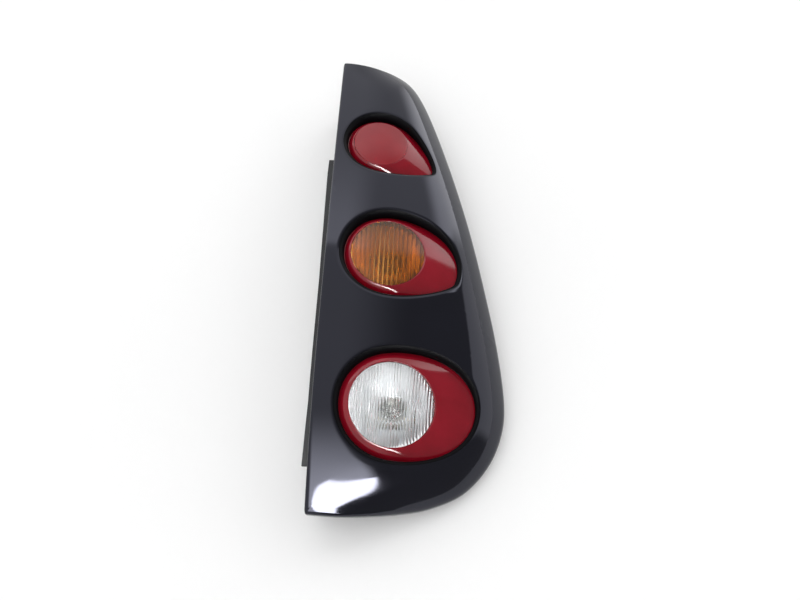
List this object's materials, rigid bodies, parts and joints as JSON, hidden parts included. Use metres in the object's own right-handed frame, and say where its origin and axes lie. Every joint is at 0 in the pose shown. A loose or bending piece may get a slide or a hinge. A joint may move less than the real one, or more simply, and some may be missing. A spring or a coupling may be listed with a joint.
{
  "type": "tail light cluster",
  "caption": "Rear lamp cluster: a curved glossy black cover with drop-shaped recesses over reversing, indicator and tail lenses, bulb carrier and threaded fixing bosses behind",
  "frame": {"origin": "centre of the bounding box in plan, on the plane that the three fixing bosses rest on", "axes": "+Y runs up the lamp's length to its tip, +Z out of its face, +X across it from the straight inner edge to the curved outer edge"},
  "size_m": [0.1824, 0.4902, 0.069],
  "materials": {
    "cover_black": "high gloss moulded acrylic, near black with a slight blue tint",
    "housing_black": "fine matt moulded plastic",
    "lens_red": "clear red moulded acrylic",
    "lens_clear": "clear fluted moulded acrylic",
    "lens_amber": "clear amber fluted moulded acrylic",
    "reflector_silver": "moulded plastic with a bright vapour coating of aluminium",
    "seal_rubber": "matt black rubber",
    "foam_rubber": "closed cell foam",
    "brass": "pressed brass, slightly dull",
    "bulb_glass": "clear blown glass",
    "carrier_plastic": "off-white heat resistant plastic",
    "peg_plastic": "natural nylon",
    "screw_steel": "zinc plated steel"
  },
  "bodies": {
    "root": {"front_cover": "cover_black", "lamp_housing": "housing_black", "fixing_bosses": "housing_black", "reverse_surround": "lens_red", "reverse_window": "lens_clear", "indicator_surround": "lens_red", "indicator_window": "lens_amber", "tail_lens": "lens_red", "reverse_seal": "seal_rubber", "indicator_seal": "seal_rubber", "tail_seal": "seal_rubber", "reverse_reflector": "reflector_silver", "indicator_reflector": "reflector_silver", "tail_reflector": "reflector_silver", "reverse_bulb_cap": "brass", "indicator_bulb_cap": "brass", "tail_bulb_cap": "brass", "reverse_bulb_glass": "bulb_glass", "indicator_bulb_glass": "bulb_glass", "tail_bulb_glass": "bulb_glass", "bulb_carrier": "carrier_plastic", "carrier_gasket": "seal_rubber", "earth_strip": "brass", "reverse_strip": "brass", "indicator_strip": "brass", "tail_strip": "brass", "body_gasket": "foam_rubber", "fixing_inserts": "brass", "cover_screws": "screw_steel", "locating_peg": "peg_plastic"}
  },
  "joints": []
}
